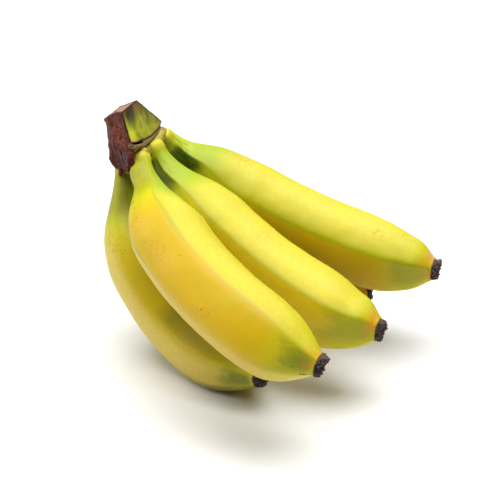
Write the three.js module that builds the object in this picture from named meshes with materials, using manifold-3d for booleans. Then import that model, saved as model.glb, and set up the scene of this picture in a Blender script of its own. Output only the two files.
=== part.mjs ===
// A cut hand of five bananas, lying on the bellies of its two outer fruits.
// Millimetres, +Z up. The origin is the middle of the bounding box, on the surface it rests on.
import * as THREE from 'three';
import { ConvexGeometry } from 'three/addons/geometries/ConvexGeometry.js';
import { mergeVertices } from 'three/addons/utils/BufferGeometryUtils.js';
import Module from 'manifold-3d';

const wasm = await Module();
wasm.setup();

// ---- driving dimensions -------------------------------------------------

const GAP = 0.3; // clearance between neighbouring solids

// Each fruit follows one cubic curve: root, the stalk's and the belly's handles, tip.
// girth is the radius across the ridges at its fullest. twist turns the ridges about the curve,
// lead adds to it at the root and turn at the tip.
const FRUITS = {
  right: { root: [-62, 71, 117], stalk: [-36, 85, 83], belly: [23, 52, 57], tip: [91, 23, 54],
    girth: 22, twist: 37, lead: -16, turn: -4 },
  middle: { root: [-66, 54, 117], stalk: [-48, 44, 82], belly: [10, -10, 48], tip: [56, -30, 45],
    girth: 21.2, twist: -13, lead: 12, turn: -4 },
  front: { root: [-72, 42, 117], stalk: [-69, -3, 85], belly: [-23, -62, 64], tip: [22, -83, 55],
    girth: 22, twist: 9, lead: -22, turn: 15 },
  left: { root: [-84, 54, 103], stalk: [-86, 25, 65], belly: [-59, 31, 2], tip: [-7, -35, 18],
    girth: 19.8, twist: 7, lead: 0, turn: 0 },
  rear: { root: [-75, 61, 97], stalk: [-44, 68, -14], belly: [18, 52, 22], tip: [57, 52, 25],
    girth: 19.6, twist: -6, lead: 0, turn: 0 },
};

// Thickness along a fruit, as fractions of its girth and of its length
const STALK_THICKNESS = 0.23;
const NECK_START = 0.02;
const NECK_LENGTH = 0.35;
const TAPER_START = 0.53;
const TAPER_POWER = 4.2;
const TAPER_ROUNDING = 1.2;
const TIP_THICKNESS = 0.27;

// Stretches of the length, as fractions of it, over which lead fades out and turn comes in
const LEAD_FADE = [0.04, 0.24];
const TURN_FADE = [0.84, 1];

const RIDGES = 5; // a banana's peel has five low ridges
const RIDGE_HEIGHT = 0.5; // 0 is a round section, 1 a true pentagon
const SIDES = 20;
const RINGS = 26;

const ROOT_TAIL = 5; // rounded end of the stalk that is buried in the crown
const ROOT_ROUNDING = [[1, 0.35], [0.6, 0.8]]; // its rings: part of the tail, part of the stalk's radius
const BLOSSOM_SEAT = 3.5; // the peel stops this far short of the curve's end

// The dried flower at each tip
const BLOSSOM = { radius: 5.8, length: 5, sides: 12, flare: [0.94, 1.08, 1, 0.8] };

// The crown: the upper block, with its cut top and its smooth green side,
// and the cushion under it that the stalks grow from
const BLOCK = [
  [-82, 36, 143], [-75, 58, 142.5], [-87, 66, 136], [-94, 50, 134],
  [-77, 36, 126], [-71, 51, 122], [-64, 70, 121.5], [-63, 70, 125.5],
  [-92, 54, 122], [-80, 76, 120],
];
const CUSHION = [
  [-79, 35, 123], [-75.5, 37, 114.5], [-77, 39, 110], [-85, 46, 102.5], [-91, 56, 105],
  [-92, 55, 121], [-69, 67, 121], [-65, 71, 114], [-84, 73, 119], [-84, 71, 106],
  [-72, 73, 103], [-73, 63, 98], [-83, 57, 99], [-71, 50, 112],
];

const UNDERGROUND = 400; // size of the block that trims the resting bellies flat at z = 0

// ---- materials ----------------------------------------------------------

const finish = (color, roughness) => new THREE.MeshStandardMaterial({ color, roughness, metalness: 0 });
const peel = finish(0xd9c52a, 0.5);
const crownSkin = finish(0x6b4630, 0.8);
const driedFlower = finish(0x2e2220, 0.9);

// ---- solids -------------------------------------------------------------

function toSolid(geometry) {
  const bare = geometry.clone();
  bare.deleteAttribute('normal');
  bare.deleteAttribute('uv');
  const merged = mergeVertices(bare, 1e-4);
  return new wasm.Manifold(new wasm.Mesh({
    numProp: 3,
    vertProperties: new Float32Array(merged.attributes.position.array),
    triVerts: new Uint32Array(merged.index.array),
  }));
}

function toGeometry(solid) {
  const { vertProperties, triVerts } = solid.getMesh();
  const geometry = new THREE.BufferGeometry();
  geometry.setAttribute('position', new THREE.BufferAttribute(vertProperties, 3));
  geometry.setIndex(new THREE.BufferAttribute(triVerts, 1));
  geometry.computeVertexNormals();
  return geometry;
}

// ---- fruit --------------------------------------------------------------

// Part of the full girth at a fraction f of the fruit's length
function thickness(f) {
  const neck = THREE.MathUtils.smoothstep(f, NECK_START, NECK_START + NECK_LENGTH);
  const taper = Math.max(0, (f - TAPER_START) / (1 - TAPER_START));
  const rounded = Math.max(0, 1 - taper ** TAPER_POWER) ** TAPER_ROUNDING;
  return Math.min(
    THREE.MathUtils.lerp(STALK_THICKNESS, 1, neck),
    THREE.MathUtils.lerp(TIP_THICKNESS, 1, rounded),
  );
}

// How far the ridges are turned at a fraction f of the fruit's length
function turned(fruit, f) {
  const root = 1 - THREE.MathUtils.smoothstep(f, ...LEAD_FADE);
  const tip = THREE.MathUtils.smoothstep(f, ...TURN_FADE);
  return THREE.MathUtils.degToRad(fruit.twist + fruit.lead * root + fruit.turn * tip);
}

// Radius of the five-ridged section at an angle, 1 on a ridge
function ridged(angle) {
  const step = (2 * Math.PI) / RIDGES;
  const fromFace = THREE.MathUtils.euclideanModulo(angle + step / 2, step) - step / 2;
  const pentagon = Math.cos(step / 2) / Math.cos(fromFace);
  return THREE.MathUtils.lerp(1, pentagon, RIDGE_HEIGHT);
}

// The fruit's curve, with the direction of its belly (the outside of the bend)
function makeSpine(fruit) {
  const [root, stalk, belly, tip] = [fruit.root, fruit.stalk, fruit.belly, fruit.tip]
    .map((point) => new THREE.Vector3(...point));
  const curve = new THREE.CubicBezierCurve3(root, stalk, belly, tip);
  const inward = root.clone().add(tip).divideScalar(2).sub(curve.getPoint(0.5));
  const sideways = inward.cross(tip.clone().sub(root)).normalize();
  return { curve, sideways, length: curve.getLength() };
}

// Position and axes of the section at a distance along the spine; past an end it runs straight on
function sectionAt(spine, distance) {
  const within = THREE.MathUtils.clamp(distance / spine.length, 0, 1);
  const along = spine.curve.getTangentAt(within);
  const centre = spine.curve.getPointAt(within).addScaledVector(along, distance - within * spine.length);
  const side = spine.sideways.clone().addScaledVector(along, -along.dot(spine.sideways)).normalize();
  const belly = side.clone().cross(along);
  return { centre, side, belly };
}

// Bends a unit cylinder along the spine; stations gives the distance of each ring and what radiusAt needs
function sweep(spine, sides, stations, radiusAt) {
  const geometry = new THREE.CylinderGeometry(1, 1, 1, sides, stations.length - 1);
  const position = geometry.attributes.position;
  for (let i = 0; i < position.count; i++) {
    const ring = Math.round((position.getY(i) + 0.5) * (stations.length - 1));
    const reach = Math.hypot(position.getX(i), position.getZ(i)); // 0 in the middle of a cap
    const angle = Math.atan2(-position.getZ(i), position.getX(i));
    const { centre, side, belly } = sectionAt(spine, stations[ring].distance);
    const radius = reach * radiusAt(stations[ring], angle);
    centre.addScaledVector(belly, radius * Math.cos(angle)).addScaledVector(side, radius * Math.sin(angle));
    position.setXYZ(i, centre.x, centre.y, centre.z);
  }
  return geometry;
}

function peelGeometry(fruit, spine) {
  const stalkRadius = fruit.girth * STALK_THICKNESS;
  const stations = ROOT_ROUNDING.map(([tail, part]) => ({
    distance: -tail * ROOT_TAIL,
    radius: part * stalkRadius,
    twist: turned(fruit, 0),
  }));
  const bodyLength = spine.length - BLOSSOM_SEAT;
  for (let i = 0; i <= RINGS; i++) {
    const distance = (i / RINGS) * bodyLength;
    const f = distance / spine.length;
    stations.push({ distance, radius: fruit.girth * thickness(f), twist: turned(fruit, f) });
  }
  return sweep(spine, SIDES, stations, (station, angle) => station.radius * ridged(angle - station.twist));
}

function blossomGeometry(spine) {
  const start = spine.length - BLOSSOM_SEAT + GAP;
  const stations = BLOSSOM.flare.map((flare, i, all) => ({
    distance: start + (i / (all.length - 1)) * BLOSSOM.length,
    radius: flare * BLOSSOM.radius,
  }));
  return sweep(spine, BLOSSOM.sides, stations, (station) => station.radius);
}

// ---- crown --------------------------------------------------------------

// Convex lump around the points, its faces moved out by grow
function lump(points, grow) {
  const corners = [];
  for (const point of points) {
    for (let corner = 0; corner < 8; corner++) {
      const shift = [corner & 1, corner & 2, corner & 4].map((bit) => (bit ? grow : -grow));
      corners.push(new THREE.Vector3(...point).add(new THREE.Vector3(...shift)));
    }
  }
  return toSolid(new ConvexGeometry(grow ? corners : points.map((point) => new THREE.Vector3(...point))));
}

const crownSolid = (grow = 0) => lump(BLOCK, grow).add(lump(CUSHION, grow));

// ---- assembly -----------------------------------------------------------

const bunch = new THREE.Group();

function addPiece(name, geometry, material) {
  const mesh = new THREE.Mesh(geometry, material.clone());
  mesh.name = name;
  bunch.add(mesh);
}

addPiece('crown', toGeometry(crownSolid()), crownSkin);

const crownWithClearance = crownSolid(GAP);
const ground = toSolid(new THREE.BoxGeometry(UNDERGROUND, UNDERGROUND, UNDERGROUND)
  .translate(0, 0, -UNDERGROUND / 2));

for (const [place, fruit] of Object.entries(FRUITS)) {
  const spine = makeSpine(fruit);
  const body = toSolid(peelGeometry(fruit, spine)).subtract(crownWithClearance).subtract(ground);
  addPiece(`banana_${place}`, toGeometry(body), peel);
  addPiece(`blossom_end_${place}`, toGeometry(toSolid(blossomGeometry(spine))), driedFlower);
}

export default bunch;
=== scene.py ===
"""A cut hand of five bananas on a white table: five fruits, their dried flower ends and the crown.

Metres in the scene. The driving sizes below are in millimetres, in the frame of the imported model.
"""

import bisect
import math

import bmesh
import bpy
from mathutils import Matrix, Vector, geometry, noise


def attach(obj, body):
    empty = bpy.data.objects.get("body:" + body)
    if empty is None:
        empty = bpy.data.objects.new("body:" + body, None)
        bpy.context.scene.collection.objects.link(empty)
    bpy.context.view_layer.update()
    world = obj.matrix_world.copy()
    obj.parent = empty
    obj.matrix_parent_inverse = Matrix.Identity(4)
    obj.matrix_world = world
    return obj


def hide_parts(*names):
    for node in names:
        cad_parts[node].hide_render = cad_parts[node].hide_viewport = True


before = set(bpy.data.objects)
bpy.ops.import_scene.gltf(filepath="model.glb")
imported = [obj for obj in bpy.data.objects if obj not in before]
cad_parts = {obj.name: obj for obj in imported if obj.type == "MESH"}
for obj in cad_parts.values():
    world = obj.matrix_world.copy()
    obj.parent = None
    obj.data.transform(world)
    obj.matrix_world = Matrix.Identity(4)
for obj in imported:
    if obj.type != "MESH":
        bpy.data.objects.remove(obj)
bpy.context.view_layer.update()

MM = 0.001
BODY = "root"

# ---- driving dimensions, in millimetres and degrees ----

# Each fruit follows one cubic curve: root, the stalk's and the belly's handles, tip.
# Its shape:
#   girth is the radius across the ridges at its fullest, ridges how high they are, end the size of the
#   dried flower, and seed where its own unevenness and pattern start;
#   twist turns the ridges about the curve, in degrees, lead adds to it at the root and turn at the tip;
#   bulges are (share of the length, width, growth of the thickness, shift), fading to both sides.
# Its colours, where an angle is counted round the section from a ridge's face:
#   gold is the middle of the two golden faces and sun how golden they are;
#   dull is how olive the whole fruit is, shade how much of the painted shade on the neck's golden faces is
#   dark green rather than olive, pale how much painted reflected light lightens the face under them, and
#   line how clearly the ridges are drawn;
#   ridge_green_and_shade is (strength, width in degrees) of the olive by the ridge over the golden faces,
#   partly its own green and partly painted shade;
#   tip is (share where it starts, strength, angle from gold) of the green patch near the tip;
#   painted_highlight is (angle from gold, strength) of the pale highlight painted along a face;
#   shade_bands are stripes of painted shade along it, (angle from gold, first share, last share, strength);
#   marks are (kind, share of the length, angle, reach), with the angle counted from the belly;
#   scratches are (first end, last end, width), each end as (share, angle from the belly).
FRUITS = {
    "right": dict(
        curve=((-62, 71, 117), (-36, 85, 83), (23, 52, 57), (91, 23, 54)),
        girth=22.2, ridges=0.9, end=1.0, seed=3,
        twist=37, lead=-16, turn=-4,
        bulges=(
            (0.0, 0.03, -0.05, (0, 0, -0.9)), (0.10, 0.06, 0.20, (-1.0, 0, -1.2)),
            (0.19, 0.08, 0.08, (0, 0, 2.2)), (0.88, 0.10, 0.05, (0, 0, -0.3)),
            (0.96, 0.04, 0.14, (0, 0, 0)), (0.55, 0.28, 0.0, (0, 0, 0.3)),
        ),
        gold=252, sun=0.85, dull=0.0, shade=1.0, pale=0.06, line=0.3,
        ridge_green_and_shade=(0.85, 48), tip=(0.86, 0.4, -46), painted_highlight=(-128, 0.35), shade_bands=(),
        marks=(
            ("scuff", 0.985, 156, 5), ("freckles", 0.81, 178, 7), ("freckles", 0.28, 158, 8),
            ("blush", 0.80, 268, 14), ("spots", 0.99, 190, 5), ("freckles", 0.5, 60, 9),
            # the two lime marks by the neck's root are painted light, where the crown shades the neck
            ("blush", 1.0, 190, 4), ("painted_lit_lime", 0.045, 165, 16), ("painted_lit_lime", 0.02, 205, 8),
            ("blush", 0.70, 256, 14), ("blush", 0.24, 150, 9),
        ),
        scratches=(),
    ),
    "middle": dict(
        curve=((-66, 54, 117), (-48, 44, 82), (10, -10, 48), (56, -30, 45)),
        girth=21.2, ridges=1.0, end=1.0, seed=11,
        twist=-13, lead=12, turn=-4,
        bulges=(
            (0.08, 0.07, 0.32, (-1.2, 0, -0.8)), (0.22, 0.07, 0.05, (0, 0, 0.8)),
            (0.84, 0.12, 0.12, (0, 0, -1.7)), (0.96, 0.045, 0.17, (0.3, 0, 0.3)),
        ),
        gold=324, sun=0.75, dull=0.0, shade=0.9, pale=0.06, line=0.3,
        ridge_green_and_shade=(0.6, 26), tip=(0.82, 0.5, -46), painted_highlight=(-118, 0.4), shade_bands=(),
        marks=(
            ("freckles", 0.52, 200, 9), ("blush", 0.995, 215, 8), ("spots", 0.98, 232, 6),
            ("blush", 0.99, 245, 4), ("blush", 0.72, 285, 12),
        ),
        scratches=(),
    ),
    "front": dict(
        curve=((-72, 42, 117), (-69, -3, 85), (-23, -62, 64), (22, -83, 55)),
        girth=22.0, ridges=0.95, end=1.0, seed=19,
        twist=9, lead=-22, turn=15,
        bulges=(
            (0.0, 0.035, 0.32, (-1.9, 0, -2.8)), (0.07, 0.035, 0.18, (-1.3, 0, 0)),
            (0.15, 0.05, -0.03, (0.7, 0, 0)), (0.87, 0.10, 0.07, (0, 0, -1.3)),
        ),
        gold=324, sun=0.95, dull=0.0, shade=0.0, pale=0.45, line=0.8,
        ridge_green_and_shade=(0.25, 26), tip=(0.885, 0.85, -42), painted_highlight=(-98, 0.55), shade_bands=(),
        marks=(
            ("freckles", 0.25, 310, 8), ("freckles", 0.30, 318, 8), ("freckles", 0.43, 303, 9),
            ("freckles", 0.66, 313, 7), ("spots", 0.38, 300, 8), ("blush", 0.30, 325, 20),
            ("blush", 0.47, 303, 10), ("spots", 0.66, 312, 4), ("freckles", 0.6, 130, 9),
            ("blush", 1.0, 265, 5),
        ),
        scratches=(((0.198, 318), (0.206, 323), 0.6), ((0.965, 342), (1.0, 364), 0.55)),
    ),
    "left": dict(
        curve=((-84, 54, 103), (-86, 25, 65), (-59, 31, 2), (-7, -35, 18)),
        girth=19.8, ridges=0.6, end=0.84, seed=27,
        twist=7, lead=0, turn=0,
        bulges=(
            (0.05, 0.07, 0.18, (0.6, 0, 0)), (0.20, 0.09, 0.04, (-1.6, 0, 0)),
            (0.93, 0.10, -0.17, (0, 0, 0.6)),
        ),
        gold=252, sun=0.6, dull=0.25, shade=0.0, pale=0.7, line=0.0,
        ridge_green_and_shade=(0.0, 20), tip=(0.86, 0.9, 20), painted_highlight=(-115, 0.3),
        # painted shade: under the front fruit, along the underside by the table, and on the neck
        shade_bands=((-34, 0.48, 1.0, 0.5), (75, 0.72, 1.05, 0.6), (-40, -0.1, 0.18, 0.5)),
        marks=(
            ("freckles", 0.24, 258, 9), ("freckles", 0.29, 250, 8), ("spots", 0.26, 262, 8),
            ("spots", 0.59, 250, 3), ("freckles", 0.4, 90, 9),
        ),
        scratches=(),
    ),
    "rear": dict(
        curve=((-75, 61, 97), (-44, 68, -14), (18, 52, 22), (57, 52, 25)),
        girth=19.6, ridges=0.9, end=0.95, seed=35,
        twist=-6, lead=0, turn=0,
        bulges=((0.05, 0.06, 0.15, (0, 0, 0)),),
        gold=324, sun=0.6, dull=0.1, shade=0.6, pale=0.2, line=0.2,
        ridge_green_and_shade=(0.5, 30), tip=(0.86, 0.5, -46), painted_highlight=(-115, 0.5), shade_bands=(),
        marks=(("freckles", 0.5, 90, 9), ("freckles", 0.7, 150, 8)),
        scratches=(),
    ),
}

# Thickness along a fruit, as fractions of its girth and of its length
STALK_THICKNESS = 0.23
NECK_START = 0.02
NECK_LENGTH = 0.35
TAPER_START = 0.53
TAPER_POWER = 5.3
TAPER_ROUNDING = 1.2
TIP_THICKNESS = 0.27

# The ridges: their height, where 0 is a round section and 1 a true pentagon, and the shares of the
# length over which it changes from the body's to another
RIDGES = 5
RIDGE_HEIGHT = 0.5
NECK_RIDGE_HEIGHT = 0.75
TIP_RIDGE_HEIGHT = 0.8
ROOT_FLATNESS = 0.7  # part of the height that is gone at the root
RIDGE_SOFTNESS = 6.0  # degrees to each side over which a ridge is rounded
NECK_RIDGES = (0.3, 0.12)
TIP_RIDGES = (0.72, 0.95)
ROOT_RIDGES = (0.16, 0.03)
TURN_STRETCH = (0.84, 1.0)  # share of the length over which turn comes in, and lead from the body on
LEAD_STRETCH = (0.24, 0.04)

SIDES = 110
RINGS = 220
SPINE_STEPS = 241

# The stalk's knuckle, as (distance along it, part of the stalk's thickness)
KNUCKLE = ((-2.0, 0.5), (-1.6, 0.82), (-0.6, 0.98), (0.8, 1.05), (2.4, 1.05), (4.0, 1.02))
BLOSSOM_SEAT = 2.0  # the peel stops this far short of the curve's end
PEEL_LIP = 1.2  # radius of the peel's rounded edge round the dried flower
LIP_TURNS = (30, 60, 90)  # degrees that the lip's rings are turned in
LIP_END = (0.6, 0.4)  # its last ring: part of the lip's radius forward, part of the tip's thickness
SWELLING = 0.3  # height of the peel's uneven lumps, which fade on the thin neck
SWELLINGS = ((60, 1.0, 0), (170, 0.4, 5))  # (lumps per metre, weight, layer of the noise)

# The dried flower: its size, how deep it sits in the peel, and its wall, torn rim and hollow
# as (part of the length, part of the radius)
BLOSSOM = dict(radius=5.3, length=5.0, depth=1.2, sides=96)
BLOSSOM_PROFILE = (
    (0, 0.76), (0.08, 0.86), (0.16, 0.94), (0.25, 1.0), (0.34, 1.04), (0.43, 1.07), (0.52, 1.09),
    (0.61, 1.09), (0.7, 1.08), (0.79, 1.05), (0.87, 1.0), (0.94, 0.93), (0.99, 0.84), (1.0, 0.74),
    (0.96, 0.64), (0.88, 0.53), (0.82, 0.42), (0.84, 0.28), (0.9, 0.14),
)
HUSK_WIDTH = 0.27  # radians to each side of the husk lobe's middle

# The crown's solids by their corners: the block with its two knife cuts, and the skin round it
SIDE_CUT = (
    (-82, 36.5, 143), (-80.5, 35, 137), (-79, 34.2, 131), (-77.2, 34.8, 126), (-74.5, 40.3, 123.7),
    (-70.8, 49, 121.7), (-68.5, 54.6, 121), (-66.5, 60, 120.8), (-64.3, 66.2, 121.4),
    (-63, 70.6, 123), (-62.6, 72.6, 124), (-75.2, 55, 143.2),
)
TOP_CUT = ((-82, 36.5, 143), (-75.2, 55, 143.2), (-86, 65, 135.6), (-92.3, 53, 134), (-87, 43.8, 139.7))
BLOCK = SIDE_CUT + (
    (-92.3, 53, 134), (-86, 65, 135.6), (-87, 43.8, 139.7), (-91.8, 52, 128), (-92.2, 54, 121),
    (-80, 76, 120), (-72, 74, 118), (-76, 46, 118),
)
FLAKE = (
    (-94, 50, 133.8), (-88, 44.4, 138.8), (-91.5, 52, 128), (-89.5, 47, 130), (-90, 54, 134.4),
    (-88, 50, 133),
)
HIDE = (
    (-82, 36.2, 141.5), (-80.6, 34.6, 136), (-79, 33.8, 131), (-77.6, 34.4, 126), (-77.8, 34.2, 121.7),
    (-76.6, 35.2, 118), (-76, 36.2, 114), (-77.6, 38, 110.5), (-84.5, 45.5, 104.5), (-90.6, 52, 107),
    (-91, 53, 109), (-92.3, 54, 116), (-91.8, 52, 128), (-87, 43.4, 139), (-78, 44, 141), (-78, 44, 112),
    (-86, 60, 106),
)
CUSHION = (
    (-79, 36, 122), (-91, 56, 105), (-91, 56, 121), (-71, 64, 119), (-67, 71, 114), (-84, 73, 119),
    (-84, 71, 106), (-72, 73, 103), (-73, 63, 99), (-83, 57, 100), (-76, 50, 112), (-85, 48, 104),
    (-74, 44, 119),
)
FLAP = (
    (-78.4, 33, 121), (-76.4, 32.4, 119), (-75.8, 30, 115), (-77, 30, 112), (-79.4, 34, 109.6),
    (-82.5, 40, 107.5), (-83, 39, 119), (-80, 36, 123), (-78, 38, 120), (-79, 40, 111),
)
CROWN_SOLIDS = (BLOCK, FLAKE, HIDE, FLAP, CUSHION)

# Limbs, each round two balls as (centre, radius): the skin's torn lower edge, the rolled ledge under
# the side cut, which runs from ball to ball, and the web that joins the stalks
TEETH = (
    (((-88.3, 49.8, 107), 1.6), ((-87.6, 48.9, 104.6), 0.5)),
    (((-84.8, 45.6, 105.5), 2.2), ((-85.3, 45.8, 101.8), 0.4)),
    (((-81.2, 41.8, 109), 2.0), ((-82.2, 42.6, 105.2), 0.5)),
    (((-79, 39.4, 110.5), 1.9), ((-79.6, 40, 107.8), 0.7)),
    (((-78, 33.5, 119.4), 2.0), ((-77.6, 31, 114.6), 2.1)),
    (((-77.6, 31, 114.6), 2.1), ((-78.7, 33, 111.2), 1.9)),
)
LEDGE = (
    ((-77.7, 33.7, 123.7), 1.3), ((-76, 34.8, 122.9), 1.5), ((-73.9, 37.6, 122.1), 1.5),
    ((-71.8, 43, 120.9), 1.3), ((-69.6, 49.2, 120.2), 1.1), ((-67.6, 55.2, 119.8), 0.9),
    ((-65.9, 61, 119.9), 0.8), ((-64.6, 65.6, 120.7), 0.8), ((-63.8, 68.6, 121.8), 0.7),
)
LEDGE_HOLE = ((-76.6, 33, 123.8), 1.7)  # (centre, radius) of the pit in the ledge
HOLE_DEPTH = 1.2
TOP_SINK = 0.3  # how far the top cut lies under its edge
SIDE_DISH = 1.1  # how far the side cut is hollowed towards its middle
WEB = (
    (((-63.2, 70.5, 117), 4.4), ((-76, 64, 112), 7)),
    (((-67.5, 56, 114.5), 4.4), ((-78, 60, 111), 7)),
    (((-73.5, 45.5, 113.5), 4.4), ((-80, 54, 111), 7)),
    (((-63.4, 69.5, 116.8), 4), ((-67.5, 56, 115), 4)),
    (((-67.5, 56, 115), 4), ((-73.5, 45.5, 114), 4.2)),
    (((-75.6, 44.5, 110.5), 4.6), ((-82, 52, 105), 5.4)),
    (((-84, 54, 106), 5.2), ((-80, 60, 112), 7)),
    (((-75, 61, 100), 5.2), ((-78, 62, 110), 7)),
    (((-74.5, 39, 116), 2.4), ((-71, 41, 118), 2.4)),
)
CROWN_VOXEL = 0.4

# ---- colours, as red, green and blue of 0 to 255 on a display ----

PEEL_INKS = dict(
    lemon=(208, 190, 20), golden=(198, 153, 2), apricot=(210, 160, 44), khaki=(178, 159, 34),
    painted_reflected_light=(212, 188, 92), painted_highlight=(226, 204, 96), mustard=(180, 168, 14), straw=(206, 192, 48),
    lime=(142, 170, 12), shaded_neck_green=(42, 72, 6), olive=(134, 132, 22), painted_lit_lime=(190, 206, 60),
    moss=(110, 128, 14), ridge_green_and_shade=(140, 144, 2), tip=(78, 104, 14), ridge=(150, 158, 14),
    painted_band_shade=(84, 86, 12), ash=(190, 184, 150), rash=(190, 130, 36), freckle=(140, 84, 18),
    spot=(104, 56, 16), scratch=(46, 28, 16), amber=(206, 136, 26), lip=(92, 58, 30),
)
FLOWER_INKS = dict(
    black=(20, 13, 18), plum=(56, 34, 36), husk=(96, 56, 44), seam=(150, 112, 96),
    speck=(188, 158, 140),
)
SKIN_INKS = dict(
    dark=(44, 17, 14), ruddy=(98, 40, 27), crack=(36, 14, 14), rust=(150, 66, 18),
    blotch=(132, 58, 26), plum=(52, 22, 36), worn=(112, 70, 54), speck=(150, 96, 72),
    ledge=(70, 52, 32), ledge_light=(128, 108, 66),
)
CUT_INKS = dict(
    green=(96, 104, 14), pale_green=(164, 164, 40), fibre=(168, 160, 70), bright=(200, 206, 34),
    dull=(146, 136, 50), dark=(62, 52, 16), toast=(128, 84, 40), painted_rim_highlight=(190, 172, 96),
    rim=(66, 38, 24), dry=(112, 80, 64), dry_light=(168, 132, 112), dry_rim=(70, 44, 34),
)
WEB_INKS = dict(olive=(134, 126, 34), straw=(178, 166, 50), tan=(140, 94, 64))
TABLE_GREY = (0.8, 0.8, 0.8, 1.0)

# ---- table, light and camera ----

# Metres here, and each lamp as (name, place, width, depth, watts)
TABLE_REACH = 6.0
LAMPS = (
    ("overhead soft box", (0.0, 0.05, 1.25), 1.5, 1.2, 35.5),
    ("left soft box", (-1.15, 0.1, 0.6), 0.9, 0.9, 7.2),
    ("back soft box", (0.2, 1.3, 0.6), 1.2, 1.2, 3.0),
)
LAMP_AIM = (0, 0, 0.05)
WORLD_STRENGTH = 0.03

# Millimetres and pixels here
CAMERA_PLACE = (-12.6, -702, 420)
CAMERA_DROP = 26.0  # degrees below level
FOCAL_PIXELS = 1451.0
PICTURE_PIXELS = 500
SENSOR = 36.0

# ---- shader kit ----

# Sockets of a Mix node that blends colours
MIX_FACTOR, MIX_FIRST, MIX_SECOND, MIX_COLOUR = 0, 6, 7, 2


class Value:
    """A shader socket that takes part in Python expressions."""

    def __init__(self, finish, socket):
        self.finish = finish
        self.socket = socket

    def math(self, operation, *others, clamp=False):
        settings = dict(operation=operation, use_clamp=clamp)
        return self.finish.node("ShaderNodeMath", settings, [self, *others])

    def __add__(self, other):
        return self.math("ADD", other)

    def __mul__(self, other):
        return self.math("MULTIPLY", other)

    def __sub__(self, other):
        return self.math("SUBTRACT", other)

    def __rsub__(self, other):
        return (self * -1.0) + other

    def __truediv__(self, other):
        return self.math("DIVIDE", other)

    def __pow__(self, other):
        return self.math("POWER", other)

    __radd__ = __add__
    __rmul__ = __mul__

    def limited(self):
        return self.math("ADD", 0.0, clamp=True)

    def step(self, low, high):
        """0 below low, 1 above high and smooth between them; low may be the larger one."""
        settings = dict(interpolation_type="SMOOTHSTEP")
        inputs = {"Value": self, "From Min": min(low, high), "From Max": max(low, high)}
        if low > high:
            inputs.update({"To Min": 1.0, "To Max": 0.0})
        return self.finish.node("ShaderNodeMapRange", settings, inputs)


class Finish:
    """A material being made, with one method that adds any node."""

    def __init__(self, name):
        self.material = bpy.data.materials.new(name)
        self.material.use_nodes = True
        self.tree = self.material.node_tree
        self.tree.nodes.clear()

    def node(self, kind, settings=None, inputs=None, output=0):
        """Adds a node, sets it up, fills its sockets with values or links and gives one output."""
        made = self.tree.nodes.new(kind)
        for name, value in (settings or {}).items():
            setattr(made, name, value)
        pairs = inputs.items() if isinstance(inputs, dict) else enumerate(inputs or [])
        for key, value in pairs:
            if isinstance(value, Value):
                self.tree.links.new(value.socket, made.inputs[key])
            else:
                made.inputs[key].default_value = value
        return None if output is None else Value(self, made.outputs[output])

    def attribute(self, name, output="Fac"):
        return self.node("ShaderNodeAttribute", dict(attribute_name=name), output=output)

    def mix(self, factor, first, second):
        """Blends two colours."""
        inputs = {MIX_FACTOR: factor, MIX_FIRST: first, MIX_SECOND: second}
        return self.node("ShaderNodeMix", dict(data_type="RGBA"), inputs, MIX_COLOUR)

    def noise(self, place, scale, detail=3.0, rough=0.55, output=0):
        inputs = {"Vector": place, "Scale": scale, "Detail": detail, "Roughness": rough}
        return self.node("ShaderNodeTexNoise", None, inputs, output)

    def sway(self, place, scale, reach):
        """A shift that varies from place to place, up to so many metres along each axis."""
        drift = self.noise(place, scale, detail=2.0, rough=0.5, output="Color")
        return self.stretched(drift, reach)

    def vector(self, operation, *inputs, output=0):
        return self.node("ShaderNodeVectorMath", dict(operation=operation), inputs, output)

    def stretched(self, place, scales):
        return self.vector("MULTIPLY", place, scales)

    def distance(self, first, second):
        return self.vector("DISTANCE", first, second, output="Value")

    def part(self, vector, axis):
        return self.node("ShaderNodeSeparateXYZ", None, [vector], output=axis)

    def place(self):
        """Where a point is on the resting bunch, in metres."""
        return self.node("ShaderNodeTexCoord", output="Object")

    def bump(self, strength, depth, relief):
        """A normal from a relief whose full height is depth millimetres."""
        inputs = {"Strength": strength, "Distance": depth * MM, "Height": relief}
        return self.node("ShaderNodeBump", None, inputs)

    def surface(self, tint, roughness, others):
        """Ends the material with a Principled shader."""
        inputs = {"Base Color": tint, "Roughness": roughness, **others}
        shader = self.node("ShaderNodeBsdfPrincipled", None, inputs)
        self.node("ShaderNodeOutputMaterial", None, [shader], output=None)
        return self.material


def colour(red, green, blue):
    """A linear colour with alpha from display values of 0 to 255."""
    channels = [c / 255 for c in (red, green, blue)]
    linear = [c / 12.92 if c <= 0.04045 else ((c + 0.055) / 1.055) ** 2.4 for c in channels]
    return (*linear, 1.0)


class Paint:
    """A colour that is built up from a table of inks, each laid where a mask of 0 to 1 says."""

    def __init__(self, finish, inks, first):
        self.finish = finish
        self.inks = inks
        self.tint = colour(*inks[first])

    def lay(self, name, mask):
        self.tint = self.finish.mix(mask, self.tint, colour(*self.inks[name]))


# ---- helpers ----


def placed(name, data):
    """A new object in the scene."""
    made = bpy.data.objects.new(name, data)
    bpy.context.scene.collection.objects.link(made)
    return made


def clamp01(value):
    return min(1.0, max(0.0, value))


def smoothstep(value, low, high):
    share = clamp01((value - low) / (high - low))
    return share * share * (3 - 2 * share)


def lerp(first, second, share):
    return first + (second - first) * share


# ---- fruit ----


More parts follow.
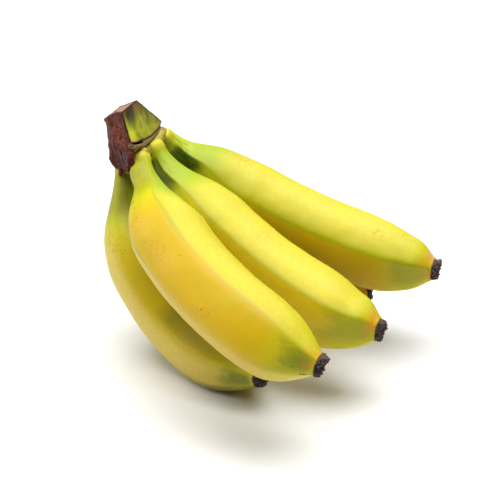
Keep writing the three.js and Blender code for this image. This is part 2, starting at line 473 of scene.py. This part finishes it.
class Spine:
    """A fruit's curve in metres, with the axes of the sections along it."""

    def __init__(self, curve):
        root, stalk, belly, tip = (Vector(point) * MM for point in curve)
        self.points = geometry.interpolate_bezier(root, stalk, belly, tip, SPINE_STEPS)
        self.reach = [0.0]
        for first, second in zip(self.points, self.points[1:]):
            self.reach.append(self.reach[-1] + (second - first).length)
        self.length = self.reach[-1]
        inward = (root + tip) / 2 - self.points[SPINE_STEPS // 2]
        self.sideways = inward.cross(tip - root).normalized()

    def section(self, distance):
        """Centre, belly direction, side direction and forward direction; past an end it runs straight on."""
        within = min(max(distance, 0.0), self.length)
        index = min(max(bisect.bisect_left(self.reach, within), 1), SPINE_STEPS - 1)
        start, end = self.points[index - 1], self.points[index]
        share = (within - self.reach[index - 1]) / (self.reach[index] - self.reach[index - 1])
        before = self.points[max(index - 2, 0)]
        after = self.points[min(index + 1, SPINE_STEPS - 1)]
        along = ((end - before).lerp(after - start, share)).normalized()
        centre = start.lerp(end, share) + along * (distance - within)
        side = (self.sideways - along * along.dot(self.sideways)).normalized()
        return centre, side.cross(along), side, along


def thickness(share):
    """Part of the full girth at a share of the fruit's length."""
    neck = smoothstep(share, NECK_START, NECK_START + NECK_LENGTH)
    taper = max(0.0, (share - TAPER_START) / (1 - TAPER_START))
    rounded = max(0.0, 1 - taper**TAPER_POWER) ** TAPER_ROUNDING
    return min(lerp(STALK_THICKNESS, 1.0, neck), lerp(TIP_THICKNESS, 1.0, rounded))


def turned(fruit, share):
    """Degrees that the ridges are turned at a share of the length."""
    tip, root = smoothstep(share, *TURN_STRETCH), smoothstep(share, *LEAD_STRETCH)
    return fruit["twist"] + fruit["turn"] * tip + fruit["lead"] * root


def bulged(fruit, share):
    """Factor on the thickness and shift of the centre, from the fruit's own bulges."""
    factor, shift = 1.0, Vector()
    for centre, width, growth, move in fruit["bulges"]:
        weight = math.exp(-(((share - centre) / width) ** 2))
        factor += growth * weight
        shift += Vector(move) * MM * weight
    return factor, shift


def ridge_nearness(angle):
    """Degrees from the nearest ridge, at an angle in degrees."""
    step = 360 / RIDGES
    from_face = (angle + step / 2) % step - step / 2
    return step / 2 - abs(from_face)


def ridged(angle, height):
    """Radius of the five-ridged section at an angle in degrees, 1 on a sharp ridge."""
    half = 180 / RIDGES
    nearness = math.hypot(ridge_nearness(angle), RIDGE_SOFTNESS)
    pentagon = math.cos(math.radians(half)) / math.cos(math.radians(half - nearness))
    return lerp(1.0, pentagon, height)


def ridge_height(share):
    """Height of the ridges at a share of the length."""
    height = RIDGE_HEIGHT
    height += (NECK_RIDGE_HEIGHT - RIDGE_HEIGHT) * smoothstep(share, *NECK_RIDGES)
    height += (TIP_RIDGE_HEIGHT - RIDGE_HEIGHT) * smoothstep(share, *TIP_RIDGES)
    return height * (1 - ROOT_FLATNESS * smoothstep(share, *ROOT_RIDGES))


def straight_tube(bm, sides, stations):
    """A closed unit tube along Z through the stations, as rings of vertices."""
    made = bmesh.ops.create_circle(bm, cap_ends=True, segments=sides, radius=1.0)
    rings = [made["verts"]]
    bmesh.ops.translate(bm, verts=rings[0], vec=(0, 0, stations[0]))
    edges = list(bm.edges)
    for low, high in zip(stations, stations[1:]):
        grown = bmesh.ops.extrude_edge_only(bm, edges=edges)["geom"]
        ring = [part for part in grown if isinstance(part, bmesh.types.BMVert)]
        edges = [part for part in grown if isinstance(part, bmesh.types.BMEdge)]
        edges = [edge for edge in edges if edge.is_boundary]
        bmesh.ops.translate(bm, verts=ring, vec=(0, 0, high - low))
        rings.append(ring)
    bmesh.ops.contextual_create(bm, geom=edges)
    return rings


def finished_piece(name, bm, material, node):
    """Turns a bmesh into a smooth piece that rides on the body and stands for a node."""
    bmesh.ops.recalc_face_normals(bm, faces=bm.faces)
    if bm.calc_volume(signed=True) < 0:  # on a bent piece they can all come out facing inwards
        bmesh.ops.reverse_faces(bm, faces=bm.faces)
    mesh = bpy.data.meshes.new(name)
    bm.to_mesh(mesh)
    bm.free()
    mesh.shade_smooth()
    mesh.materials.append(material)
    piece = placed(name, mesh)
    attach(piece, BODY)
    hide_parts(node)
    return piece


def peel_stations(fruit, spine):
    """(distance, part of the girth) of each ring: the knuckle, the body and the lip at the tip."""
    lip = PEEL_LIP * MM
    body = spine.length - BLOSSOM_SEAT * MM
    stations = [(reach * MM, part * STALK_THICKNESS) for reach, part in KNUCKLE]
    start = stations[-1][0]
    for i in range(1, RINGS + 1):
        distance = lerp(start, body, i / RINGS)
        stations.append((distance, thickness(distance / spine.length)))
    end = stations[-1][1]
    for turn in LIP_TURNS:
        bend = math.radians(turn)
        inwards = lip / (fruit["girth"] * MM) * (1 - math.cos(bend))
        stations.append((body + lip * math.sin(bend), end - inwards))
    sunk, narrowed = LIP_END
    stations.append((body + sunk * lip, narrowed * end))
    return stations


def swelling(fruit, point):
    """Height of the uneven lumps at a point of the straightened fruit, about -1 to 1."""
    height = 0.0
    for scale, weight, layer in SWELLINGS:
        height += weight * noise.noise(point * scale + Vector((fruit["seed"], layer, 0)))
    return height


def make_peel(place, fruit):
    spine = Spine(fruit["curve"])
    girth = fruit["girth"] * MM
    stations = peel_stations(fruit, spine)
    bm = bmesh.new()
    along_layer = bm.verts.layers.float.new("along")
    ridge_layer = bm.verts.layers.float.new("ridge")
    straight_layer = bm.verts.layers.float_vector.new("straight")
    rings = straight_tube(bm, SIDES, [distance for distance, _ in stations])
    for ring, (distance, radius) in zip(rings, stations):
        centre, belly, side, _ = spine.section(distance)
        share = distance / spine.length
        factor, shift = bulged(fruit, share)
        height = ridge_height(share) * fruit["ridges"]
        twist = turned(fruit, share)
        for vertex in ring:
            straight = Vector((vertex.co.x, vertex.co.y, 0)).normalized() * radius * girth
            straight.z = distance
            from_ridge = math.degrees(math.atan2(vertex.co.y, vertex.co.x))
            angle = math.radians(from_ridge + twist)
            reach = radius * factor * girth * ridged(from_ridge, height)
            reach += SWELLING * MM * swelling(fruit, straight) * min(1.0, radius * 1.5)
            vertex.co = centre + shift + (belly * math.cos(angle) + side * math.sin(angle)) * reach
            vertex.co.z = max(vertex.co.z, 0.0)
            vertex[along_layer] = share
            vertex[straight_layer] = straight
            vertex[ridge_layer] = ridge_nearness(from_ridge)
    material = peel_material(place, fruit, spine)
    return finished_piece(f"peel_{place}", bm, material, f"banana_{place}")


class Peel(Finish):
    """The peel of one fruit, with its patterns and the masks that place its colours."""

    def __init__(self, place, fruit, spine):
        super().__init__(f"banana peel {place}")
        self.fruit = fruit
        self.spine = spine
        self.along = self.attribute("along")
        self.ridge = self.attribute("ridge")
        self.straight = self.attribute("straight", "Vector")
        self.across, self.depth = self.part(self.straight, 0), self.part(self.straight, 1)
        self.reach = (self.across * self.across + self.depth * self.depth) ** 0.5
        self.shifted = self.vector("ADD", self.straight, (fruit["seed"] * 0.37, 0.0, 0.0))
        self.patches = self.noise(self.stretched(self.shifted, (1, 1, 0.35)), 70.0)
        self.clouds = self.noise(self.stretched(self.shifted, (1, 1, 0.5)), 190.0, detail=4.0, rough=0.6)
        self.mottle = self.noise(self.shifted, 420.0, detail=4.0, rough=0.6)
        self.grain = self.noise(self.shifted, 1300.0, detail=4.0, rough=0.7)
        self.streaks = self.noise(self.stretched(self.shifted, (1, 1, 0.05)), 520.0, detail=3.0)
        self.wobble = self.along + (self.patches - 0.5) * 0.08 + (self.clouds - 0.5) * 0.04

    def towards(self, angle):
        """Cosine of the turn from an angle round the section."""
        turn = math.radians(angle)
        return (self.across * math.cos(turn) + self.depth * math.sin(turn)) / self.reach

    def facing(self, angle, width, soft):
        """1 within width degrees of an angle round the section, 0 further off."""
        cosine = self.towards(angle) + (self.clouds - 0.5) * 0.04
        return cosine.step(math.cos(math.radians(width + soft)), math.cos(math.radians(width - soft)))

    def ramp(self, angle, width):
        """1 at an angle round the section, falling evenly to 0 at width degrees from it."""
        gap = self.towards(angle).math("ARCCOSINE") / math.radians(width)
        return (1.0 - gap + (self.clouds - 0.5) * 0.2).limited()

    def spot(self, share, angle):
        """A spot on the straightened peel, at an angle from the belly."""
        radius = thickness(share) * self.fruit["girth"] * MM
        turn = math.radians(angle - turned(self.fruit, share))
        return Vector((radius * math.cos(turn), radius * math.sin(turn), share * self.spine.length))

    def near(self, share, angle, reach):
        """1 at a spot on the peel, 0 from reach millimetres on."""
        gap = self.distance(self.straight, self.spot(share, angle))
        return gap.step(reach * MM, 0.25 * reach * MM)

    def marked(self, kind):
        """Where the fruit has marks of one kind, 0 all over if it has none."""
        mask = self.along * 0.0
        for other, share, angle, reach in self.fruit["marks"]:
            if other == kind:
                mask = self.near(share, angle, reach) + mask
        return mask

    def scratch(self, first, second, width):
        """1 on the straight line between two spots on the peel, 0 from width millimetres on."""
        start, run = self.spot(*first), self.spot(*second) - self.spot(*first)
        offset = self.vector("SUBTRACT", self.straight, start)
        share = (self.vector("DOT_PRODUCT", offset, run, output="Value") / run.length_squared).limited()
        gap = self.distance(offset, self.vector("MULTIPLY", run, share))
        return (gap + (self.mottle - 0.5) * 0.0015).step(width * MM, 0.4 * width * MM)

    def dots(self, scale, size, crowd):
        """Dots in the middle of the pattern's cells, where a cell's own random number allows one."""
        inputs = {"Vector": self.shifted, "Scale": scale}
        gap = self.node("ShaderNodeTexVoronoi", None, inputs, "Distance")
        chance = self.node("ShaderNodeTexVoronoi", None, inputs, "Color")
        lucky = self.node("ShaderNodeSeparateColor", None, [chance], "Red")
        allowed = (lucky + crowd).step(1.0, 1.06)
        return (gap + (self.grain - 0.5) * 0.2).step(size, size * 0.4) * allowed


def ripe_colours(peel):
    """Lemon with two golden faces, duller in places, with painted reflected light on the face under them and
    a painted highlight along another.
    """
    fruit, gold = peel.fruit, peel.fruit["gold"]
    faces = peel.facing(gold, 75, 4) * 0.85 + peel.facing(gold, 76, 16) * 0.15
    sunny = faces * peel.along.step(0.19, 0.33) * peel.along.step(0.96, 0.8) * fruit["sun"]
    sunny = sunny * (peel.patches * 0.6 + 0.7)
    paint = Paint(peel, PEEL_INKS, "lemon")
    paint.lay("golden", sunny)
    paint.lay("apricot", peel.marked("blush") * (peel.clouds * 0.7 + 0.1))
    greenish = peel.facing(gold + 180, 60, 30) * 0.2 + peel.patches.step(0.4, 0.7) * 0.15
    paint.lay("lime", greenish)
    paint.lay("khaki", peel.clouds.step(0.35, 0.75) * 0.22 + fruit["dull"])
    # Painted reflected light: the face under the golden ones lightened as by light off the white table.
    pale = peel.facing(gold + 36, 36, 14) * peel.along.step(0.15, 0.3) * fruit["pale"]
    paint.lay("painted_reflected_light", pale)
    # A painted highlight: a pale streak along the top face where the lamps' sheen falls.
    offset, strength = fruit["painted_highlight"]
    painted_highlight = strength * peel.facing(gold + offset, 12, 18) * peel.along.step(0.14, 0.24)
    painted_highlight = painted_highlight * (peel.streaks * 0.7 + peel.clouds * 0.7)
    paint.lay("painted_highlight", painted_highlight)
    return paint


def green_colours(peel, paint):
    """The green neck and tip and the olive of the ridges, with painted shade on the necks and by the ridges,
    and painted light on one neck.
    """
    fruit, gold = peel.fruit, peel.fruit["gold"]
    along, wobble = peel.along, peel.wobble
    unripe = wobble.step(0.26, 0.17) * 0.75 + wobble.step(0.45, 0.22) * 0.25
    paint.lay("lime", unripe * (peel.facing(gold, 76, 16) * -0.5 + 0.95))
    # Olive on the neck's golden faces: partly the neck's own colour, partly painted shade.
    neck = wobble.step(0.22, 0.13) * peel.facing(gold, 75, 4)
    paint.lay("olive", neck * (1.0 - fruit["shade"]) * 0.8)
    # Painted light: a brighter lime on the neck where the crown shades it.
    paint.lay("painted_lit_lime", peel.marked("painted_lit_lime").limited() * 0.75)
    paint.lay("moss", wobble.step(0.17, 0.08) * peel.streaks.step(0.45, 0.65) * 0.45)
    paint.lay("straw", wobble.step(0.03, 0.0) * 0.8)
    paint.lay("lime", wobble.step(0.80, 0.97) * 0.25)
    # Olive by the ridge over the golden faces: partly the ridge's own green, partly painted shade where the
    # face rounds over.
    strength, width = fruit["ridge_green_and_shade"]
    ridge_green_and_shade = peel.ramp(gold - 72, width) ** 1.3 * peel.facing(gold - 112, 44, 4) * along.step(0.1, 0.2)
    paint.lay("ridge_green_and_shade", ridge_green_and_shade * strength)
    start, strength, offset = fruit["tip"]
    patch = (wobble + (peel.clouds - 0.5) * 0.04).step(start, start + 0.06) * along.step(1.0, 0.97)
    patch = patch * peel.facing(gold + offset, 22, 18) * (peel.mottle * 0.5 + peel.streaks * 0.5 + 0.4)
    paint.lay("tip", patch * strength)
    drawn = peel.ridge.step(4.0, 0.5) * along.step(0.03, 0.08) * along.step(0.55, 0.35)
    paint.lay("ridge", drawn * fruit["line"])


def fine_grain(peel, paint):
    """The small unevenness of the colour all over."""
    paint.lay("lime", peel.streaks.step(0.55, 0.8) * 0.2)
    paint.lay("khaki", peel.mottle.step(0.42, 0.68) * 0.25)
    paint.lay("mustard", peel.grain.step(0.46, 0.66) * 0.4)


def painted_shades(peel, paint):
    """Painted shade: the neck's own green darkened on its golden faces, and dark stripes where another fruit
    or the table shades the peel.
    """
    fruit, gold = peel.fruit, peel.fruit["gold"]
    # Painted shade: the neck's own green darkened on its golden faces, between the stalks.
    neck_shade = peel.wobble.step(0.20, 0.13) * peel.wobble.step(0.025, 0.055)
    neck_shade = neck_shade * peel.facing(gold, 75, 4) * fruit["shade"] * (peel.streaks * 0.5 + 0.65)
    paint.lay("shaded_neck_green", neck_shade)
    # Stripes of painted shade, where another fruit or the table shades the peel.
    for offset, start, end, strength in fruit["shade_bands"]:
        shade_band = peel.facing(gold + offset, 12, 18) * strength
        shade_band = shade_band * peel.along.step(start, start + 0.12) * peel.along.step(end, end - 0.08)
        paint.lay("painted_band_shade", shade_band)


def stains(peel, paint, small, large):
    """Rubbed places, freckles, scratches and the browned tip."""
    fruit, along = peel.fruit, peel.along
    paint.lay("ash", peel.marked("scuff") * peel.mottle.step(0.4, 0.6) * 0.7)
    paint.lay("rash", peel.marked("freckles") * peel.mottle.step(0.45, 0.6) * 0.2)
    paint.lay("freckle", small * 0.7)
    paint.lay("spot", large * 0.8)
    for first, second, width in fruit["scratches"]:
        paint.lay("scratch", peel.scratch(first, second, width))
    amber = along.step(0.945, 0.985) * (peel.clouds.step(0.4, 0.6) * 0.6 + 0.1)
    amber = amber * peel.facing(fruit["gold"] - 90, 70, 30)
    paint.lay("amber", amber)
    paint.lay("lip", along.step(0.992, 0.998) * 0.8)


def peel_material(place, fruit, spine):
    """Waxy banana peel: lemon with two golden faces, green neck and tip, freckles and marks, and painted
    shade, highlight and reflected light.
    """
    peel = Peel(place, fruit, spine)
    sparse = peel.noise(peel.shifted, 45.0, detail=2.0) * 0.2 - 0.07
    small = peel.dots(800.0, 0.36, sparse + peel.marked("freckles") * 0.6)
    large = peel.dots(330.0, 0.24, sparse + peel.marked("spots") * 0.5)
    paint = ripe_colours(peel)
    green_colours(peel, paint)
    fine_grain(peel, paint)
    painted_shades(peel, paint)
    stains(peel, paint, small, large)
    relief = peel.grain * 0.4 + peel.streaks * 0.5 + peel.mottle * 0.6 - small * 0.3 - large * 0.5
    others = {"IOR": 1.45, "Specular IOR Level": 0.3, "Normal": peel.bump(0.3, 0.3, relief)}
    return peel.surface(paint.tint, peel.mottle * 0.2 + 0.34, others)


# ---- dried flower ends ----


def make_blossom(place, fruit, material):
    """A ragged dark cup: its wall, its torn rim and the hollow inside, with one husk lobe on top."""
    spine = Spine(fruit["curve"])
    radius = BLOSSOM["radius"] * fruit["end"] * MM
    start = spine.length - (BLOSSOM_SEAT + BLOSSOM["depth"]) * MM
    stations = [start + share * BLOSSOM["length"] * MM for share, _ in BLOSSOM_PROFILE]
    bm = bmesh.new()
    husk_layer = bm.verts.layers.float.new("husk")
    rings = straight_tube(bm, BLOSSOM["sides"], stations)
    _, belly, side, along = spine.section(spine.length)
    upward = math.atan2(side.z, belly.z)
    _, shift = bulged(fruit, 1.0)
    for ring, (share, width), distance in zip(rings, BLOSSOM_PROFILE, stations):
        centre, belly, side, _ = spine.section(distance)
        for vertex in ring:
            direction = Vector((vertex.co.x, vertex.co.y)).normalized()
            angle = math.atan2(direction.y, direction.x)
            aside = (angle - upward + math.pi) % math.tau - math.pi
            husk = math.exp(-((aside / HUSK_WIDTH) ** 2)) * smoothstep(share * width, 0.5, 0.95)
            spot = Vector((direction.x + fruit["seed"], direction.y, share * 0.9))
            lobes = noise.noise(spot * 1.6) * 0.9 + noise.noise(spot * 4.5) * 0.5
            crumbs = noise.noise(spot * 9.0) + noise.noise(spot * 19.0) * 0.6
            out = width * radius * (1 + 0.16 * lobes * share**0.5 + 0.17 * crumbs + 0.12 * husk)
            rise = noise.noise(spot * 2.6 + Vector((0, 9, 0))) * 1.6 + noise.noise(spot * 8.0) * 1.4
            vertex.co = centre + shift + (belly * direction.x + side * direction.y) * out
            vertex.co += along * ((rise + husk) * MM * smoothstep(share, 0.3, 1.0))
            vertex[husk_layer] = husk
    return finished_piece(f"flower_{place}", bm, material, f"blossom_end_{place}")


def flower_material():
    """Nearly black and crumbly, with pale seams and specks, and browner on the husk lobe."""
    finish = Finish("dried flower")
    paint = Paint(finish, FLOWER_INKS, "black")
    place = finish.place()
    grain = finish.noise(place, 900.0, detail=5.0, rough=0.7)
    crumbs = finish.noise(place, 380.0, detail=3.0, rough=0.6)
    husk = finish.attribute("husk")
    bent = finish.vector("ADD", place, finish.sway(place, 500.0, (0.002, 0.002, 0.002)))
    inputs = {"Vector": bent, "Scale": 620.0}
    gap = finish.node("ShaderNodeTexVoronoi", dict(feature="DISTANCE_TO_EDGE"), inputs, "Distance")
    seams = gap.step(0.16, 0.04) * crumbs.step(0.35, 0.6)
    paint.lay("plum", crumbs.step(0.35, 0.7))
    paint.lay("husk", husk.step(0.4, 0.95) * 0.6)
    paint.lay("seam", seams * 0.6)
    paint.lay("speck", grain.step(0.6, 0.7) * 0.8)
    bump = finish.bump(0.9, 0.6, grain * 0.6 + crumbs + seams * 0.5)
    return finish.surface(paint.tint, grain * 0.3 + 0.5, {"Normal": bump})


# ---- crown ----


def ball_directions():
    """Unit vectors spread evenly over a ball."""
    bm = bmesh.new()
    bmesh.ops.create_icosphere(bm, subdivisions=2, radius=1.0)
    directions = [vertex.co.copy() for vertex in bm.verts]
    bm.free()
    return directions


BALL = ball_directions()


def grow_hull(bm, points):
    """Adds the tight convex solid round some points, given in metres."""
    verts = [bm.verts.new(point) for point in points]
    made = bmesh.ops.convex_hull(bm, input=verts)
    spare = {part for part in made["geom_interior"] if isinstance(part, bmesh.types.BMVert)}
    bmesh.ops.delete(bm, geom=list(spare), context="VERTS")


def grow_limb(bm, first, second):
    """Adds a rounded solid round two balls, each (centre, radius) in millimetres."""
    points = []
    for centre, radius in (first, second):
        for direction in BALL:
            points.append((Vector(centre) + direction * radius) * MM)
    grow_hull(bm, points)


def fused(bm, voxel):
    """One closed skin round all the solids of a bmesh, as a new bmesh."""
    mesh = bpy.data.meshes.new("solids")
    bm.to_mesh(mesh)
    bm.free()
    solids = placed("solids", mesh)
    remesh = solids.modifiers.new("skin", "REMESH")
    remesh.mode = "VOXEL"
    remesh.voxel_size = voxel * MM
    evaluated = solids.evaluated_get(bpy.context.evaluated_depsgraph_get())
    skin = bmesh.new()
    skin.from_mesh(evaluated.to_mesh())
    evaluated.to_mesh_clear()
    bpy.data.objects.remove(solids)
    bpy.data.meshes.remove(mesh)
    return skin


class CutFace:
    """A flat cut with straight edges, which tells where a point lies on it."""

    def __init__(self, corners):
        self.corners = [Vector(corner) * MM for corner in corners]
        self.normal = geometry.normal(self.corners)
        self.centre = sum(self.corners, Vector()) / len(self.corners)

    def height(self, point):
        return abs((point - self.centre).dot(self.normal))

    def inset(self, point):
        """How far the point lies inside the nearest edge."""
        gaps = []
        for first, second in zip(self.corners, self.corners[1:] + self.corners[:1]):
            inward = self.normal.cross(second - first).normalized()
            gaps.append((point - first).dot(inward))
        return min(gaps)

    def cover(self, point):
        """1 on the cut, 0 off it."""
        level = smoothstep(self.height(point) / MM, 0.7, 0.3)
        return level * smoothstep(self.inset(point) / MM, -0.2, 0.3)

    def rim(self, point):
        """1 along the cut's edge, 0 some millimetres off it."""
        beside = smoothstep(abs(self.inset(point)) / MM, 2.5, 0.5)
        return beside * smoothstep(self.height(point) / MM, 4.0, 1.0)


def rough(point, scale, stretch=1.0):
    """Noise at a point, scale in lumps per millimetre, drawn out along Z."""
    return noise.noise(Vector((point.x, point.y, point.z / stretch)) / MM * scale)


def skin_lift(point):
    """Height of the skin's lumps and folds at a point, in millimetres."""
    folds = 0.8 - abs(rough(point, 0.3, 2.2)) * 2.5
    return 0.9 * rough(point, 0.22, 1.6) + 0.6 * folds + 0.2 * rough(point, 0.9, 2.4)


def ledge_gap(point):
    """Millimetres from a point to the rolled ledge."""
    gaps = []
    for (first, thick), (second, thin) in zip(LEDGE, LEDGE[1:]):
        start, end = Vector(first) * MM, Vector(second) * MM
        share = clamp01(geometry.intersect_point_line(point, start, end)[1])
        gaps.append((point - start.lerp(end, share)).length / MM - lerp(thick, thin, share))
    return min(gaps)


def evened(bm, verts, rounds):
    """Evens out some vertices, round after round."""
    axes = dict(use_axis_x=True, use_axis_y=True, use_axis_z=True)
    for _ in range(rounds):
        bmesh.ops.smooth_vert(bm, verts=verts, factor=0.5, **axes)
    bm.normal_update()


def make_crown():
    """The knife-cut block, its torn skin and the ledge, fused and then roughened."""
    bm = bmesh.new()
    for solid in CROWN_SOLIDS:
        grow_hull(bm, [Vector(point) * MM for point in solid])
    for first, second in TEETH + tuple(zip(LEDGE, LEDGE[1:])):
        grow_limb(bm, first, second)
    bm = fused(bm, CROWN_VOXEL)
    side_cut, top_cut = CutFace(SIDE_CUT), CutFace(TOP_CUT)
    side_layer = bm.verts.layers.float_vector.new("side_cut")
    top_layer = bm.verts.layers.float_vector.new("top_cut")
    ledge_layer = bm.verts.layers.float.new("ledge")
    evened(bm, [v for v in bm.verts if side_cut.cover(v.co) + top_cut.cover(v.co) < 0.5], 4)
    hole, hole_radius = LEDGE_HOLE
    moves = []
    for vertex in bm.verts:
        point = vertex.co.copy()
        side, side_inset = side_cut.cover(point), side_cut.inset(point) / MM
        top, top_inset = top_cut.cover(point), top_cut.inset(point) / MM
        ledge = smoothstep(ledge_gap(point), 1.2, 0.4)
        rim = max(side_cut.rim(point), top_cut.rim(point))
        vertex[side_layer] = (side, side_inset, 0.0)
        vertex[top_layer] = (top, top_inset, 0.0)
        vertex[ledge_layer] = ledge
        lift = (1 - max(side, top)) * lerp(1.0, 0.3, ledge) * (1 - 0.75 * rim) * skin_lift(point)
        from_hole = (point - Vector(hole) * MM).length / MM
        lift -= HOLE_DEPTH * smoothstep(from_hole, hole_radius, 0.4 * hole_radius)
        lift += top * (0.25 * rough(point, 1.2) - TOP_SINK)
        lift += side * (0.15 * rough(point, 0.4, 5.0) - SIDE_DISH * smoothstep(side_inset, 0.3, 8.0))
        moves.append(vertex.normal * lift * MM)
    for vertex, move in zip(bm.verts, moves):
        vertex.co += move
    return finished_piece("cut_crown", bm, crown_material(), "crown")


def make_web():
    """The fleshy base that joins the stalks under the crown."""
    bm = bmesh.new()
    for first, second in WEB:
        grow_limb(bm, first, second)
    bm = fused(bm, CROWN_VOXEL)
    evened(bm, bm.verts, 6)
    moves = [v.normal * (0.3 * rough(v.co, 0.35) + 0.1 * rough(v.co, 1.1)) * MM for v in bm.verts]
    for vertex, move in zip(bm.verts, moves):
        vertex.co += move
    return finished_piece("stalk_web", bm, web_material(), "crown")


class CrownSkin(Finish):
    """The crown's finish, with its patterns and where its cuts and its ledge are."""

    def __init__(self):
        super().__init__("crown skin")
        self.spot = self.place()
        tall = self.stretched(self.spot, (1.0, 1.0, 0.45))
        bent = self.vector("ADD", tall, self.sway(self.spot, 140.0, (0.006, 0.006, 0.0)))
        self.streaks = self.noise(bent, 460.0, detail=5.0, rough=0.65)
        self.blotches = self.noise(tall, 170.0, detail=4.0, rough=0.6)
        self.specks = self.noise(self.spot, 1100.0, detail=4.0, rough=0.7)
        self.grit = self.noise(self.spot, 600.0, detail=5.0, rough=0.7)
        side, top = self.attribute("side_cut", "Vector"), self.attribute("top_cut", "Vector")
        self.side, self.side_inset = self.part(side, 0), self.part(side, 1)
        self.top, self.top_inset = self.part(top, 0), self.part(top, 1)
        self.ledge = self.attribute("ledge")

    def near(self, point, reach):
        """1 at a point, 0 from reach millimetres on."""
        gap = self.distance(self.spot, Vector(point) * MM)
        return gap.step(reach * MM, 0.2 * reach * MM)


def skin_colours(crown):
    """Dark red-brown leather with rust, a plum shadow and worn places, and the drier ledge."""
    grit, blotches, specks = crown.grit, crown.blotches, crown.specks
    paint = Paint(crown, SKIN_INKS, "dark")
    paint.lay("ruddy", grit.step(0.35, 0.65))
    paint.lay("crack", crown.streaks.step(0.6, 0.35) * 0.4)
    paint.lay("rust", crown.near((-84.5, 41, 128), 12.0) * grit.step(0.4, 0.6) * 0.8)
    paint.lay("blotch", blotches.step(0.52, 0.7) * 0.4)
    paint.lay("plum", crown.near((-77, 36, 114), 12.0) * blotches.step(0.7, 0.4) * 0.7)
    paint.lay("worn", crown.near((-91, 48, 134), 7.0) * 0.5)
    paint.lay("speck", specks.step(0.6, 0.72) * 0.35)
    ledge = Paint(crown, SKIN_INKS, "ledge")
    ledge.lay("ledge_light", specks.step(0.35, 0.6))
    return crown.mix(crown.ledge, paint.tint, ledge.tint)


def green_cut_colours(crown):
    """The green side cut: bright at its upper left, darker on top, with a painted highlight along one edge
    and a dark edge.
    """
    blotches = crown.blotches
    paint = Paint(crown, CUT_INKS, "green")
    paint.lay("pale_green", blotches.step(0.38, 0.62))
    paint.lay("fibre", crown.streaks.step(0.4, 0.75) * 0.35)
    paint.lay("bright", crown.near((-78.4, 37.4, 131.5), 12.0) * (blotches * 0.8 + 0.5))
    paint.lay("dull", crown.near((-67, 65, 127), 12.0) * 0.45)
    paint.lay("dark", crown.near((-78.8, 44, 139.5), 11.5) * (blotches * 1.4 + 0.35))
    paint.lay("toast", crown.near((-75.5, 55, 142.5), 9.0))
    low = crown.near((-77.5, 36, 125), 9.0)
    # A painted highlight along the cut's lower edge.
    paint.lay("painted_rim_highlight", crown.side_inset.step(1.6, 0.7) * low * 0.8)
    paint.lay("rim", (crown.side_inset + low * 0.9 + (crown.specks - 0.5) * 0.8).step(1.5, 0.6))
    return paint.tint


def dry_cut_colours(crown):
    """The dried top cut with its dark edge."""
    paint = Paint(crown, CUT_INKS, "dry")
    paint.lay("dry_light", crown.streaks.step(0.3, 0.7))
    paint.lay("dry_rim", (crown.top_inset + (crown.specks - 0.5) * 2.0).step(2.2, 0.6))
    return paint.tint


def crown_material():
    """Leathery skin with the green side cut and the dry top cut."""
    crown = CrownSkin()
    tint = crown.mix(crown.side, skin_colours(crown), green_cut_colours(crown))
    tint = crown.mix(crown.top, tint, dry_cut_colours(crown))
    relief = crown.streaks * (1.0 - crown.side * 0.8) + crown.specks * 0.5 * (1.0 - crown.side * 0.7)
    others = {"IOR": 1.45, "Specular IOR Level": 0.14, "Normal": crown.bump(0.7, 0.6, relief)}
    return crown.surface(tint, crown.streaks * 0.25 + 0.36 + crown.top * 0.25, others)


def web_material():
    """Pale olive, with a few tan flecks, more of them beside the crown's far edge."""
    finish = Finish("stalk web")
    paint = Paint(finish, WEB_INKS, "olive")
    place = finish.place()
    clouds = finish.noise(place, 200.0, detail=4.0, rough=0.6)
    specks = finish.noise(place, 900.0, detail=4.0, rough=0.7)
    paint.lay("straw", clouds.step(0.3, 0.7))
    edge = finish.distance(place, Vector((-63, 71, 121)) * MM).step(0.006, 0.001)
    paint.lay("tan", specks.step(0.55, 0.7) * 0.5 + edge * specks.step(0.3, 0.6))
    bump = finish.bump(0.4, 0.4, specks + clouds)
    return finish.surface(paint.tint, clouds * 0.2 + 0.4, {"IOR": 1.45, "Normal": bump})


# ---- floor, light and camera ----


def make_floor():
    bm = bmesh.new()
    bmesh.ops.create_grid(bm, x_segments=1, y_segments=1, size=TABLE_REACH)
    mesh = bpy.data.meshes.new("table")
    bm.to_mesh(mesh)
    bm.free()
    finish = Finish("white table")
    mesh.materials.append(finish.surface(TABLE_GREY, 0.6, {}))
    placed("table", mesh)


def make_soft_box(name, place, width, depth, watts):
    """A lamp that faces the bunch."""
    lamp = bpy.data.lights.new(name, "AREA")
    lamp.shape = "RECTANGLE"
    lamp.size, lamp.size_y = width, depth
    lamp.energy = watts
    box = placed(name, lamp)
    box.location = place
    box.rotation_euler = (Vector(LAMP_AIM) - box.location).to_track_quat("-Z", "Y").to_euler()


def make_light():
    world = bpy.data.worlds.new("studio")
    world.use_nodes = True
    background = world.node_tree.nodes["Background"]
    background.inputs["Color"].default_value = (1, 1, 1, 1)
    background.inputs["Strength"].default_value = WORLD_STRENGTH
    bpy.context.scene.world = world
    for lamp in LAMPS:
        make_soft_box(*lamp)
    bpy.context.scene.view_settings.view_transform = "Standard"


def make_camera():
    data = bpy.data.cameras.new("camera")
    data.sensor_width = SENSOR
    data.lens = SENSOR * FOCAL_PIXELS / PICTURE_PIXELS
    camera = placed("camera", data)
    camera.location = Vector(CAMERA_PLACE) * MM
    camera.rotation_euler = (math.radians(90 - CAMERA_DROP), 0, 0)
    bpy.context.scene.camera = camera


make_camera()
make_light()
make_floor()
dried = flower_material()
for place, fruit in FRUITS.items():
    make_peel(place, fruit)
    make_blossom(place, fruit, dried)
make_crown()
make_web()
